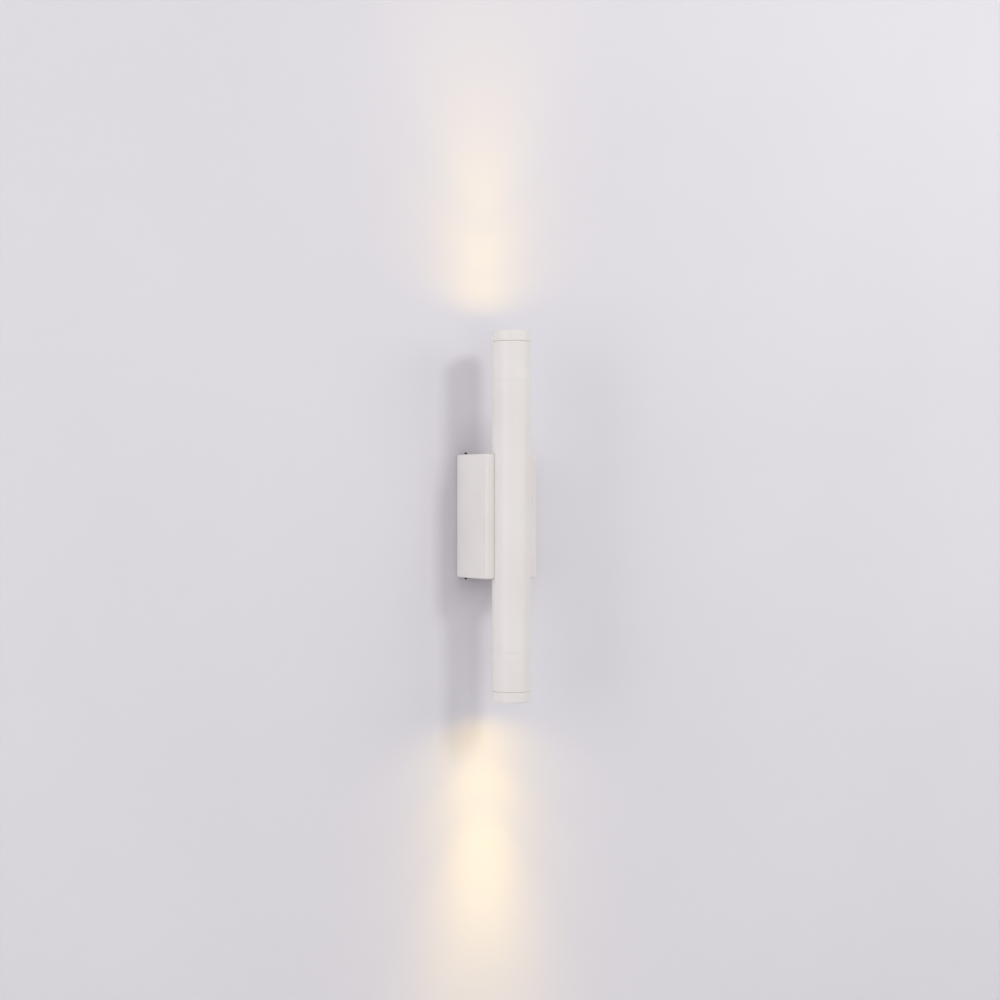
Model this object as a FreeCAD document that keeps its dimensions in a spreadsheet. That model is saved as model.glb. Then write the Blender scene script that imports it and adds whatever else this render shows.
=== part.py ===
"""Tube wall light: a slim tube that shines up and down, half sunk in a square wall box.

The frame: the origin is at the centre of the wall face, the wall is the plane y = 0, the light
stands out towards -y, and z is up.  The tube's axis lies in the plane of the box's front face.
All lengths are in millimetres.
"""
import FreeCAD, Part
import Sketcher
import math
import os

from FreeCAD import Placement, Rotation, Vector

doc = FreeCAD.newDocument("tube_wall_light")
sheet = doc.addObject("Spreadsheet::Sheet", "sizes")

# The driving dimensions: each one is written once, here.
DRIVING = [
    # the tube and its two heads
    ("tube_diameter", "40", "outside of tube, heads and end rings"),
    ("tube_wall", "2", "wall of the drawn tube"),
    ("tube_length", "278", "drawn tube between the two heads"),
    ("head_length", "40", "head from the tube to the end ring"),
    ("seam_bevel", "0.2", "bevel that draws the hairline between tube and head"),
    ("spigot_length", "12", "head's spigot inside the tube"),
    ("spigot_wall", "2", "wall of that spigot"),
    ("spigot_clearance", "0.05", "radial gap of the spigot in the tube"),
    ("web_thickness", "6", "floor of the head that the lamp board is screwed to"),
    ("web_rise", "2", "floor's underside above the tube's end"),
    ("thread_wall", "2.4", "wall of the head outside the end ring's thread"),
    ("rim_step", "1", "step below that thread that the reflector's rim sits on"),
    ("thread_depth", "13", "depth of that bore below the head's end"),
    ("fin_count", "8", "cooling fins under the floor"),
    ("fin_thickness", "1.5", "one cooling fin"),
    ("fin_length", "12", "fins and their hub below the floor"),
    ("hub_diameter", "9", "hub that the fins meet in"),
    ("lead_hole", "4", "hole in the floor for the lamp's leads"),
    ("lead_hole_inset", "2.45", "that hole's middle inside the spigot's bore"),
    # the end rings
    ("ring_length", "11", "end ring above the head"),
    ("ring_spigot", "8", "threaded spigot of the end ring"),
    ("thread_clearance", "0.1", "radial gap of the ring's thread"),
    ("ring_gap", "0.1", "gap under the ring's shoulder"),
    ("groove_bevel", "0.6", "bevel each side of the groove between ring and head"),
    ("ring_edge", "1", "round on the ring's outer edge"),
    ("ring_wall", "1.2", "wall of the threaded spigot"),
    ("lip_reach", "1.8", "lip in from the recess for the glass"),
    ("mouth_bevel", "1", "bevel of that opening"),
    ("lip_thickness", "6", "lip that holds the glass in"),
    # glass, gasket and clip
    ("glass_thickness", "3", "glass disc"),
    ("glass_clearance", "0.3", "radial gap round the glass"),
    ("glass_edge", "0.3", "ground edge of the glass"),
    ("gasket_inset", "0.3", "gasket in from the edge of the glass"),
    ("gasket_proud", "0.1", "gasket back from the lip's edge"),
    ("gasket_thickness", "0.8", "flat gasket on the glass"),
    ("seat_gap", "0.1", "gap of the turning ring to what it carries"),
    ("clip_thickness", "1", "spring clip behind the glass"),
    ("clip_width", "1.9", "radial width of the clip"),
    ("clip_groove", "0.6", "depth of the clip's groove"),
    ("clip_gap_width", "7", "gap between the ends of the clip"),
    # reflector and lamp
    ("reflector_wall", "0.8", "spun reflector"),
    ("reflector_throat", "12", "inside diameter at the lamp"),
    ("reflector_rise", "4", "throat above the head's floor"),
    ("reflector_curve", "30", "radius of the reflector's curve"),
    ("reflector_rim_gap", "0.3", "radial gap round the reflector's rim"),
    ("rim_thickness", "1.2", "reflector's rim"),
    ("board_gap", "1.1", "radial gap round the lamp board"),
    ("board_thickness", "1.6", "lamp board"),
    ("board_screw_reach", "8.5", "lamp board's screws from the axis"),
    ("board_screw_diameter", "2.5", "lamp board's screws"),
    ("lamp_diameter", "9", "light-emitting disc"),
    ("lamp_thickness", "1.2", "light-emitting disc"),
    # the wall box
    ("box_width", "60", "wall box across"),
    ("box_depth", "60", "wall box from the wall, and the tube's axis"),
    ("box_height", "128", "wall box"),
    ("box_wall", "2", "its wall"),
    ("box_edge", "2", "round on its edges"),
    ("cradle_clearance", "0.1", "radial gap of the tube in its cradle"),
    ("pad_flat", "0.5", "flat seats behind the cradle stand this proud"),
    # the wall bracket
    ("plate_thickness", "1.5", "bracket plate"),
    ("plate_gap", "0.3", "bracket inside the box"),
    ("bend_radius", "1", "inside of the bracket's bends"),
    ("flange_depth", "13", "bracket's flanges from the wall"),
    ("collar_depth", "2.5", "tapped collars under the flanges"),
    ("collar_wall", "1.2", "wall of those collars"),
    ("wall_hole_diameter", "4.8", "holes for the wall screws"),
    ("wall_hole_span", "36", "wall holes across"),
    ("wall_hole_inset", "19", "wall holes from the box's ends"),
    ("entry_hole", "13", "hole for the grommet"),
    ("entry_bore", "8", "bore of the grommet"),
    ("grommet_lip", "1.5", "grommet's lips beyond its hole"),
    ("grommet_lip_thickness", "1.4", "grommet's lip in the box"),
    ("grommet_clearance", "0.1", "grommet in the plate"),
    # screws
    ("screw_clearance", "0.15", "radial gap round a screw that passes through"),
    ("thread_fit", "0.05", "radial gap of a screw in its thread"),
    ("cover_screw_diameter", "3", "cover screws"),
    ("cover_screw_span", "46", "cover screws across"),
    ("cover_screw_inset", "6", "cover screws from the wall"),
    ("cover_head_diameter", "4", "their heads"),
    ("cover_head_height", "2.1", "their heads"),
    ("cradle_screw_diameter", "4", "screws that hold the tube"),
    ("cradle_screw_inset", "10", "those screws from the box's ends"),
    ("cradle_head_diameter", "7.6", "their heads"),
    ("cradle_head_height", "2.6", "their heads"),
    ("nut_thickness", "4.5", "saddle nuts in the tube"),
    ("nut_width", "14", "saddle nuts"),
    ("nut_length", "12", "saddle nuts"),
    ("nut_gap", "0.1", "saddle nuts to the tube"),
    ("bush_bore", "5.2", "bush for the lamps' leads"),
    ("bush_diameter", "8", "its shank"),
    ("bush_flange", "11", "its flange"),
    ("bush_flange_height", "1.5", "its flange"),
    ("bush_gap", "12", "bush below the upper cradle screw"),
    ("bush_reach", "1.5", "bush inside the tube"),
    # driver
    ("driver_width", "38", "driver"),
    ("driver_bush_gap", "16", "driver's upper end below the bush"),
    ("driver_screw_gap", "14", "driver's lower end above the lower cradle screw"),
    ("driver_edge", "1.5", "round on its long edges"),
    ("driver_cradle_gap", "3.9", "driver behind the cradle"),
    ("driver_block_gap", "2", "driver in front of the terminal block"),
    ("ear_length", "10", "driver's ears"),
    ("ear_width", "10", "driver's ears"),
    ("ear_thickness", "2", "driver's ears"),
    ("post_diameter", "7", "posts that carry the ears"),
    ("driver_screw_diameter", "2.5", "driver's screws"),
    # terminal block and earth
    ("block_width", "28", "terminal block"),
    ("block_height", "16", "terminal block"),
    ("block_depth", "12.5", "terminal block"),
    ("block_earth_gap", "24", "its middle above the earth screw"),
    ("pole_pitch", "9.3", "between its poles"),
    ("pole_bore", "3.6", "its wire holes"),
    ("pole_depth", "5", "its wire holes"),
    ("well_diameter", "4.4", "wells of its clamping screws"),
    ("well_depth", "5", "wells of its clamping screws"),
    ("clamp_screw_diameter", "3", "its clamping screws"),
    ("block_screw_diameter", "2.5", "screws that hold it"),
    ("earth_inset", "12", "earth screw from the box's lower end"),
    ("earth_screw_diameter", "4", "earth screw"),
    ("tag_thickness", "0.8", "earth tag"),
    ("tag_diameter", "9", "earth tag"),
    ("tag_tail", "3", "earth tag's tail across"),
    ("lead_diameter", "1.7", "leads"),
    ("lead_grip", "4.5", "stripped end of a lead inside the terminal block"),
    ("lead_drop", "6", "supply leads below the driver before they turn"),
    ("lead_sag", "12", "lowest bend of the supply leads below the driver"),
    ("lead_sway", "1.5", "how far the lamps' leads wander inside the tube"),
]
for row, (alias, number, note) in enumerate(DRIVING, start=1):
    sheet.set(f"A{row}", note)
    sheet.set(f"B{row}", number)
    sheet.setAlias(f"B{row}", alias)
doc.recompute()

# Places and sizes that follow from the driving dimensions, as expressions.
TUBE_R = "(sizes.tube_diameter / 2)"
TUBE_BORE_R = f"({TUBE_R} - sizes.tube_wall)"
AXIS_Y = "(-sizes.box_depth)"
HEAD_FOOT = "(sizes.tube_length / 2)"
HEAD_END = f"({HEAD_FOOT} + sizes.head_length)"
RING_END = f"({HEAD_END} + sizes.ring_length)"
SPIGOT_R = f"({TUBE_BORE_R} - sizes.spigot_clearance)"
SPIGOT_BORE_R = f"({SPIGOT_R} - sizes.spigot_wall)"
WEB_UNDER = f"({HEAD_FOOT} + sizes.web_rise)"
WEB_TOP = f"({WEB_UNDER} + sizes.web_thickness)"
RIM_SEAT = f"({HEAD_END} - sizes.thread_depth)"
THREAD_R = f"({TUBE_R} - sizes.thread_wall)"
LAMP_BORE_R = f"({THREAD_R} - sizes.rim_step)"
LEAD_HOLE_REACH = f"({SPIGOT_BORE_R} - sizes.lead_hole_inset)"
LIP_UNDER = f"({RING_END} - sizes.lip_thickness)"
RECESS_R = f"({THREAD_R} - sizes.thread_clearance - sizes.ring_wall)"
GLASS_R = f"({RECESS_R} - sizes.glass_clearance)"
MOUTH_R = f"({RECESS_R} - sizes.lip_reach)"
GLASS_TOP = f"({LIP_UNDER} - sizes.seat_gap - sizes.gasket_thickness)"
GLASS_UNDER = f"({GLASS_TOP} - sizes.glass_thickness)"
CLIP_TOP = f"({GLASS_UNDER} - sizes.seat_gap)"
CLIP_UNDER = f"({CLIP_TOP} - sizes.clip_thickness)"
BOARD_TOP = f"({WEB_TOP} + sizes.board_thickness)"
CAVITY_X = "(sizes.box_width / 2 - sizes.box_wall)"
CAVITY_Z = "(sizes.box_height / 2 - sizes.box_wall)"
CRADLE_R = f"({TUBE_R} + sizes.cradle_clearance)"
CRADLE_BACK_R = f"({CRADLE_R} + sizes.box_wall)"
CRADLE_BACK = f"(sizes.box_depth - {CRADLE_BACK_R})"
SEAT_FLAT = f"({CRADLE_BACK} - sizes.pad_flat)"
BRACKET_Z = f"({CAVITY_Z} - sizes.plate_gap)"
BRACKET_X = f"({CAVITY_X} - sizes.plate_gap)"
BLOCK_FRONT = "(sizes.plate_thickness + sizes.block_depth)"
CRADLE_SCREW_Z = "(sizes.box_height / 2 - sizes.cradle_screw_inset)"
BUSH_Z = f"({CRADLE_SCREW_Z} - sizes.bush_gap)"
DRIVER_FRONT = f"({CRADLE_BACK} - sizes.driver_cradle_gap)"
DRIVER_BACK = f"({BLOCK_FRONT} + sizes.driver_block_gap)"
DRIVER_THICK = f"({DRIVER_FRONT} - {DRIVER_BACK})"
DRIVER_TOP = f"({BUSH_Z} - sizes.driver_bush_gap)"
DRIVER_FOOT = f"(sizes.driver_screw_gap - {CRADLE_SCREW_Z})"
EARTH_Z = "(sizes.earth_inset - sizes.box_height / 2)"
BLOCK_Z = f"({EARTH_Z} + sizes.block_earth_gap)"
UPPER_POST = f"({DRIVER_TOP} + sizes.ear_length / 2)"
LOWER_POST = f"({DRIVER_FOOT} - sizes.ear_length / 2)"
COVER_SCREW_X = "(sizes.cover_screw_span / 2)"

ENDS = ("upper", "lower")
SIDES = ("-1", "1")


def number(expression):
    """The value that an expression over the sheet has now."""
    result = sheet.evalExpression(expression)
    return float(getattr(result, "Value", result))


def bind(thing, **expressions):
    """Tie properties of an object to expressions over the sheet."""
    for name, expression in expressions.items():
        thing.setExpression(name, expression)


def place(thing, x="0", y="0", z="0", axis=(0, 0, 1), angle=0):
    """Put an object where the expressions say, turned about an axis."""
    base = Vector(number(x), number(y), number(z))
    thing.Placement = Placement(base, Rotation(Vector(*axis), angle))
    for letter, expression in zip("xyz", (x, y, z)):
        if expression != "0":
            thing.setExpression(f"Placement.Base.{letter}", expression)


# ---------------------------------------------------------------- sketches and features

def new_body(label):
    body = doc.addObject("PartDesign::Body", label)
    body.Label = label
    return body


def plane_of(body, role):
    return next(part for part in body.Origin.OriginFeatures if part.Role == role)


def new_sketch(body, name, role, offset="0"):
    """A sketch on one of the body's own planes, moved along the plane's normal."""
    sketch = body.newObject("Sketcher::SketchObject", name)
    sketch.AttachmentSupport = (plane_of(body, role), [""])
    sketch.MapMode = "FlatFace"
    if offset != "0":
        sketch.AttachmentOffset = Placement(Vector(0, 0, number(offset)), Rotation())
        sketch.setExpression("AttachmentOffset.Base.z", offset)
    return sketch


def pin(sketch, shape, point, across, along):
    """Fix one point of a sketch: a zero puts it on the sketch's own axis."""
    for kind, axis, expression in (("DistanceX", -2, across), ("DistanceY", -1, along)):
        if expression == "0":
            sketch.addConstraint(Sketcher.Constraint("PointOnObject", shape, point, axis))
        else:
            value = number(expression)
            index = sketch.addConstraint(Sketcher.Constraint(kind, shape, point, value))
            sketch.setExpression(f"Constraints[{index}]", expression)


def arc_between(start, end, radius):
    """An arc from start to end; a positive radius bulges to the right of the way along it."""
    chord = end - start
    middle = (start + end) * 0.5
    right = Vector(chord.y, -chord.x, 0).normalize()
    size = abs(radius)
    rise = size - math.sqrt(size * size - chord.Length ** 2 / 4)
    crown = middle + right * math.copysign(rise, radius)
    return Part.Arc(start, crown, end)


def outline(sketch, corners, arcs=None):
    """A closed outline through corners of two expressions each; arcs maps a corner's number to
    the radius of the arc that leaves it, and a minus sign bulges that arc the other way."""
    arcs = arcs or {}
    points = [Vector(number(across), number(along), 0) for across, along in corners]
    count = len(points)
    for index, start in enumerate(points):
        end = points[(index + 1) % count]
        if index in arcs:
            sketch.addGeometry(arc_between(start, end, number(arcs[index])))
        else:
            sketch.addGeometry(Part.LineSegment(start, end))
    ends = [end_points(sketch, index, points) for index in range(count)]
    for index in range(count):
        after = (index + 1) % count
        join = Sketcher.Constraint("Coincident", index, ends[index][1], after, ends[after][0])
        sketch.addConstraint(join)
    for index, (across, along) in enumerate(corners):
        pin(sketch, index, ends[index][0], across, along)
    for index, radius in arcs.items():
        size = radius.lstrip("-")
        constraint = Sketcher.Constraint("Radius", index, number(size))
        where = sketch.addConstraint(constraint)
        sketch.setExpression(f"Constraints[{where}]", size)


def end_points(sketch, index, points):
    """Which of a curve's two ends, 1 or 2, is its first in the outline, and which its last."""
    start = sketch.getPoint(index, 1)
    return (1, 2) if start.distanceToPoint(points[index]) < 1e-6 else (2, 1)


def rectangle(sketch, left, right, low, high):
    outline(sketch, [(left, low), (right, low), (right, high), (left, high)])


def circles(sketch, places, radius):
    """Circles of one radius, each round a point of two expressions."""
    for across, along in places:
        middle = Vector(number(across), number(along), 0)
        circle = Part.Circle(middle, Vector(0, 0, 1), number(radius))
        shape = sketch.addGeometry(circle)
        pin(sketch, shape, 3, across, along)
        where = sketch.addConstraint(Sketcher.Constraint("Radius", shape, number(radius)))
        sketch.setExpression(f"Constraints[{where}]", radius)


def pad(body, sketch, length, both=False, reverse=False):
    feature = body.newObject("PartDesign::Pad", f"{sketch.Name}_pad")
    feature.Profile = sketch
    feature.SideType = "Symmetric" if both else "One side"
    feature.Reversed = reverse
    feature.Length = number(length)
    feature.setExpression("Length", length)
    body.Tip = feature
    return feature


def pocket(body, sketch, length, both=False, reverse=False):
    feature = body.newObject("PartDesign::Pocket", f"{sketch.Name}_cut")
    feature.Profile = sketch
    feature.SideType = "Symmetric" if both else "One side"
    feature.Reversed = reverse
    feature.Length = number(length)
    feature.setExpression("Length", length)
    body.Tip = feature
    return feature


def revolve(body, corners, arcs=None, name="section"):
    """Turn a half section, drawn as distances from the axis and heights, about the z axis."""
    sketch = new_sketch(body, f"{body.Name}_{name}", "XZ_Plane")
    outline(sketch, corners, arcs)
    feature = body.newObject("PartDesign::Revolution", f"{body.Name}_turned")
    feature.Profile = sketch
    feature.ReferenceAxis = (sketch, ["V_Axis"])
    feature.Angle = 360
    body.Tip = feature
    return feature


def polar(body, feature, count):
    pattern = body.newObject("PartDesign::PolarPattern", f"{feature.Name}_round")
    pattern.Originals = [feature]
    pattern.Axis = (plane_of(body, "Z_Axis"), [""])
    pattern.Angle = 360
    pattern.setExpression("Occurrences", count)
    body.Tip = pattern
    return pattern


def soften(body, choose, radius, name="soft_edges"):
    """Round the edges of the body's tip that the test picks."""
    doc.recompute()
    tip = body.Tip
    picked = [f"Edge{index}" for index, edge in enumerate(tip.Shape.Edges, start=1) if choose(edge)]
    feature = body.newObject("PartDesign::Fillet", f"{body.Name}_{name}")
    feature.Base = (tip, picked)
    feature.Radius = number(radius)
    feature.setExpression("Radius", radius)
    body.Tip = feature
    return feature


def at_end(thing, end):
    """Stand a piece on the tube's axis: the lower end is the upper one turned over."""
    if end == "upper":
        place(thing, y=AXIS_Y)
    else:
        place(thing, y=AXIS_Y, axis=(0, 1, 0), angle=180)


# ---------------------------------------------------------------- screws and leads

def screw_section(name, shank_r, shank_length, head_r, head_height):
    """The half section of a pan-head screw whose head sits on z = 0, shank down."""
    sketch = doc.addObject("Sketcher::SketchObject", name)
    sketch.Placement = Placement(Vector(), Rotation(Vector(1, 0, 0), 90))
    crown = f"({head_height} * 0.45)"
    corners = [
        ("0", f"-({shank_length})"),
        (f"{shank_r} * 0.75", f"-({shank_length})"),
        (shank_r, f"-({shank_length}) + {shank_r} * 0.4"),
        (shank_r, "0"),
        (head_r, "0"),
        (head_r, f"{head_height} - {crown}"),
        (f"{head_r} - {crown}", head_height),
        ("0", head_height),
    ]
    outline(sketch, corners, {5: crown})
    return sketch


def screws(label, section, places, axis=(1, 0, 0), angle=0):
    """One node of equal screws: places are three expressions, and a fourth item turns one over."""
    turned = []
    for index, (x, y, z, over) in enumerate(places):
        screw = doc.addObject("Part::Revolution", f"{label}_{index + 1}")
        screw.Source = section
        screw.Axis = Vector(0, 0, 1)
        screw.Angle = 360
        screw.Solid = True
        place(screw, x, y, z, axis, angle + (180 if over else 0))
        turned.append(screw)
    return group(label, turned)


def group(label, members):
    compound = doc.addObject("Part::Compound", label)
    compound.Label = label
    compound.Links = members
    return compound


def lead_path(points):
    """Straight runs joined by arcs, each arc as large as its two runs allow."""
    edges = []
    here = points[0]
    radii = []
    for before, corner, after in zip(points, points[1:], points[2:]):
        back = (before - corner).normalize()
        onward = (after - corner).normalize()
        run = min((before - corner).Length, (after - corner).Length)
        half_turn = (math.pi - back.getAngle(onward)) / 2
        reach = 0.45 * run
        radius = reach / math.tan(half_turn)
        radii.append(radius)
        start = corner + back * reach
        end = corner + onward * reach
        inward = (back + onward).normalize()
        crown = corner + inward * (radius / math.cos(half_turn) - radius)
        edges.append(Part.LineSegment(here, start).toShape())
        edges.append(Part.Arc(start, crown, end).toShape())
        here = end
    edges.append(Part.LineSegment(here, points[-1]).toShape())
    return Part.Wire(edges), radii


def lead(name, route, diameter):
    """A round lead along a route of points, each of three expressions."""
    points = [Vector(number(x), number(y), number(z)) for x, y, z in route]
    path, radii = lead_path(points)
    start = path.Edges[0].Vertexes[0].Point
    heading = path.Edges[0].tangentAt(path.Edges[0].FirstParameter)
    circle = Part.Circle(start, heading, number(diameter) / 2).toShape()
    pipe = path.makePipeShell([Part.Wire([circle])], True, False)
    thing = doc.addObject("Part::Feature", name)
    thing.Shape = pipe
    section = math.pi * number(diameter) ** 2 / 4
    share = pipe.Volume / (section * path.Length)
    print(f"{name}: {path.Length:.0f} mm, least bend {min(radii):.1f} mm, volume share {share:.3f}")
    return thing


# ---------------------------------------------------------------- wall bracket

def make_wall_bracket():
    """A steel plate on the wall with two flanges that take the cover's screws."""
    body = new_body("wall_bracket")
    high, thick, deep = BRACKET_Z, "sizes.plate_thickness", "sizes.flange_depth"
    side = new_sketch(body, "bracket_side", "YZ_Plane")
    corners = [
        ("0", f"-{high}"), ("0", high), (f"-{deep}", high), (f"-{deep}", f"{high} - {thick}"),
        (f"-{thick}", f"{high} - {thick}"), (f"-{thick}", f"-{high} + {thick}"),
        (f"-{deep}", f"-{high} + {thick}"), (f"-{deep}", f"-{high}"),
    ]
    outline(side, corners)
    pad(body, side, f"2 * {BRACKET_X}", both=True)
    outer, inner = number(high), number(f"{high} - {thick}")
    plate = number(thick)

    def bend(depth, height):
        def test(edge):
            box = edge.BoundBox
            flat = abs(box.YMin + depth) < 1e-4 and abs(box.YMax + depth) < 1e-4
            return flat and box.XLength > 1 and abs(abs(box.ZMin) - height) < 1e-4
        return test

    soften(body, bend(0, outer), f"sizes.bend_radius + {thick}", "outer_bends")
    soften(body, bend(plate, inner), "sizes.bend_radius", "inner_bends")
    add_collars(body)
    face = new_sketch(body, "bracket_holes", "XZ_Plane", thick)
    span, rise = "sizes.wall_hole_span / 2", "(sizes.box_height / 2 - sizes.wall_hole_inset)"
    spots = [(f"{x} * {span}", f"{z} * {rise}") for x in SIDES for z in SIDES]
    circles(face, spots, "sizes.wall_hole_diameter / 2")
    circles(face, [("0", "0")], "sizes.entry_hole / 2")
    circles(face, [("0", EARTH_Z)], "sizes.earth_screw_diameter / 2 + sizes.thread_fit")
    fixings = [(f"{x} * sizes.pole_pitch / 2", BLOCK_Z) for x in SIDES]
    circles(face, fixings, "sizes.block_screw_diameter / 2 + sizes.thread_fit")
    pocket(body, face, f"{thick} + 1")
    return body


def add_collars(body):
    """Tapped collars drawn out of the flanges towards the middle."""
    spots = [(f"{x} * {COVER_SCREW_X}", "-sizes.cover_screw_inset") for x in SIDES]
    bore = "sizes.cover_screw_diameter / 2 + sizes.thread_fit"
    for name, side in (("upper", 1), ("lower", -1)):
        start = f"{side} * ({BRACKET_Z} - sizes.plate_thickness)"
        collar = new_sketch(body, f"{name}_collars", "XY_Plane", start)
        circles(collar, spots, f"{bore} + sizes.collar_wall")
        pad(body, collar, "sizes.collar_depth", reverse=side > 0)
    taps = new_sketch(body, "collar_taps", "XY_Plane")
    circles(taps, spots, bore)
    pocket(body, taps, "sizes.box_height", both=True)


def make_cable_grommet():
    """A rubber grommet in the plate's middle, through which the supply would come."""
    body = new_body("cable_grommet")
    thick, lip = "sizes.plate_thickness", "sizes.grommet_lip_thickness"
    neck = "(sizes.entry_hole / 2 - sizes.grommet_clearance)"
    wide = "(sizes.entry_hole / 2 + sizes.grommet_lip)"
    bore = "(sizes.entry_bore / 2)"
    corners = [
        (bore, "0"), (neck, "0"), (neck, f"{thick} + sizes.grommet_clearance"),
        (wide, f"{thick} + sizes.grommet_clearance"), (wide, f"{thick} + {lip} * 0.6"),
        (f"{wide} - {lip} * 0.6", f"{thick} + {lip}"), (bore, f"{thick} + {lip}"),
    ]
    revolve(body, corners)
    place(body, axis=(1, 0, 0), angle=90)
    return body


# ---------------------------------------------------------------- cover box

def make_cover_box():
    """The box: a folded shell, open to the wall, with a half-round cradle in its front."""
    body = new_body("cover_box")
    half, deep, tall = "sizes.box_width / 2", "sizes.box_depth", "sizes.box_height"
    block = new_sketch(body, "box_outline", "XY_Plane")
    rectangle(block, f"-{half}", half, f"-{deep}", "0")
    pad(body, block, tall, both=True)
    soften(body, lambda edge: edge.BoundBox.YMin < -1e-4, "sizes.box_edge")
    cavity = new_sketch(body, "box_cavity", "XY_Plane")
    rectangle(cavity, f"-{CAVITY_X}", CAVITY_X, f"-({deep} - sizes.box_wall)", "1")
    pocket(body, cavity, f"2 * {CAVITY_Z}", both=True)
    add_cradle(body)
    add_seats(body)
    top = new_sketch(body, "cover_screw_holes", "XY_Plane")
    spots = [(f"{x} * {COVER_SCREW_X}", "-sizes.cover_screw_inset") for x in SIDES]
    circles(top, spots, "sizes.cover_screw_diameter / 2 + sizes.screw_clearance")
    pocket(body, top, f"{tall} + 2", both=True)
    return body


def add_cradle(body):
    """The half-round trough: its back is a half disc that a scoop of the tube's size hollows."""
    back = new_sketch(body, "cradle_back", "XY_Plane")
    radius = number(CRADLE_BACK_R)
    front = -number("sizes.box_depth")
    left, right = Vector(-radius, front, 0), Vector(radius, front, 0)
    crown = Vector(0, front + radius, 0)
    back.addGeometry(Part.Arc(left, crown, right))
    back.addGeometry(Part.LineSegment(left, right))
    ends = end_points(back, 0, [left])
    back.addConstraint(Sketcher.Constraint("Coincident", 0, ends[0], 1, 1))
    back.addConstraint(Sketcher.Constraint("Coincident", 0, ends[1], 1, 2))
    pin(back, 0, 3, "0", AXIS_Y)
    size = back.addConstraint(Sketcher.Constraint("Radius", 0, radius))
    back.setExpression(f"Constraints[{size}]", CRADLE_BACK_R)
    for point in (1, 2):
        level = back.addConstraint(Sketcher.Constraint("DistanceY", 1, point, front))
        back.setExpression(f"Constraints[{level}]", AXIS_Y)
    pad(body, back, f"2 * {CAVITY_Z}", both=True)
    scoop = new_sketch(body, "cradle_scoop", "XY_Plane")
    circles(scoop, [("0", AXIS_Y)], CRADLE_R)
    pocket(body, scoop, "sizes.box_height + 2", both=True)


def add_seats(body):
    """Flat seats and posts behind the cradle, and the holes through them."""
    root = f"({CRADLE_BACK} + sizes.box_wall / 2)"
    seats = new_sketch(body, "screw_seats", "XZ_Plane", SEAT_FLAT)
    spots = [("0", f"{side} * {CRADLE_SCREW_Z}") for side in SIDES]
    circles(seats, spots, "sizes.cradle_head_diameter / 2 + sizes.pad_flat")
    circles(seats, [("0", BUSH_Z)], "sizes.bush_flange / 2 + sizes.pad_flat * 0.6")
    pad(body, seats, f"{root} - {SEAT_FLAT}")
    posts = new_sketch(body, "driver_posts", "XZ_Plane", DRIVER_FRONT)
    centres = [("0", UPPER_POST), ("0", LOWER_POST)]
    circles(posts, centres, "sizes.post_diameter / 2")
    pad(body, posts, f"{root} - {DRIVER_FRONT}")
    pilots = new_sketch(body, "post_pilots", "XZ_Plane", DRIVER_FRONT)
    circles(pilots, centres, "sizes.driver_screw_diameter / 2 + sizes.thread_fit")
    pocket(body, pilots, f"{root} - {DRIVER_FRONT}", reverse=True)
    through = new_sketch(body, "cradle_holes", "XZ_Plane", SEAT_FLAT)
    circles(through, spots, "sizes.cradle_screw_diameter / 2 + sizes.screw_clearance")
    circles(through, [("0", BUSH_Z)], "sizes.bush_diameter / 2 + sizes.screw_clearance")
    pocket(body, through, "sizes.pad_flat + sizes.box_wall + 2", reverse=True)


# ---------------------------------------------------------------- tube and heads

def make_tube_body():
    """The drawn tube, with the holes in its back for the screws and the leads."""
    body = new_body("tube_body")
    end, bevel = HEAD_FOOT, "sizes.seam_bevel"
    corners = [
        (TUBE_BORE_R, f"-{end}"), (f"{TUBE_R} - {bevel}", f"-{end}"), (TUBE_R, f"-{end} + {bevel}"),
        (TUBE_R, f"{end} - {bevel}"), (f"{TUBE_R} - {bevel}", end), (TUBE_BORE_R, end),
    ]
    revolve(body, corners)
    holes = new_sketch(body, "tube_holes", "XZ_Plane")
    spots = [("0", f"{side} * {CRADLE_SCREW_Z}") for side in SIDES]
    circles(holes, spots, "sizes.cradle_screw_diameter / 2 + sizes.screw_clearance")
    circles(holes, [("0", BUSH_Z)], "sizes.bush_diameter / 2 + sizes.screw_clearance")
    pocket(body, holes, f"{TUBE_R} + 1")
    place(body, y=AXIS_Y)
    return body


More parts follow.
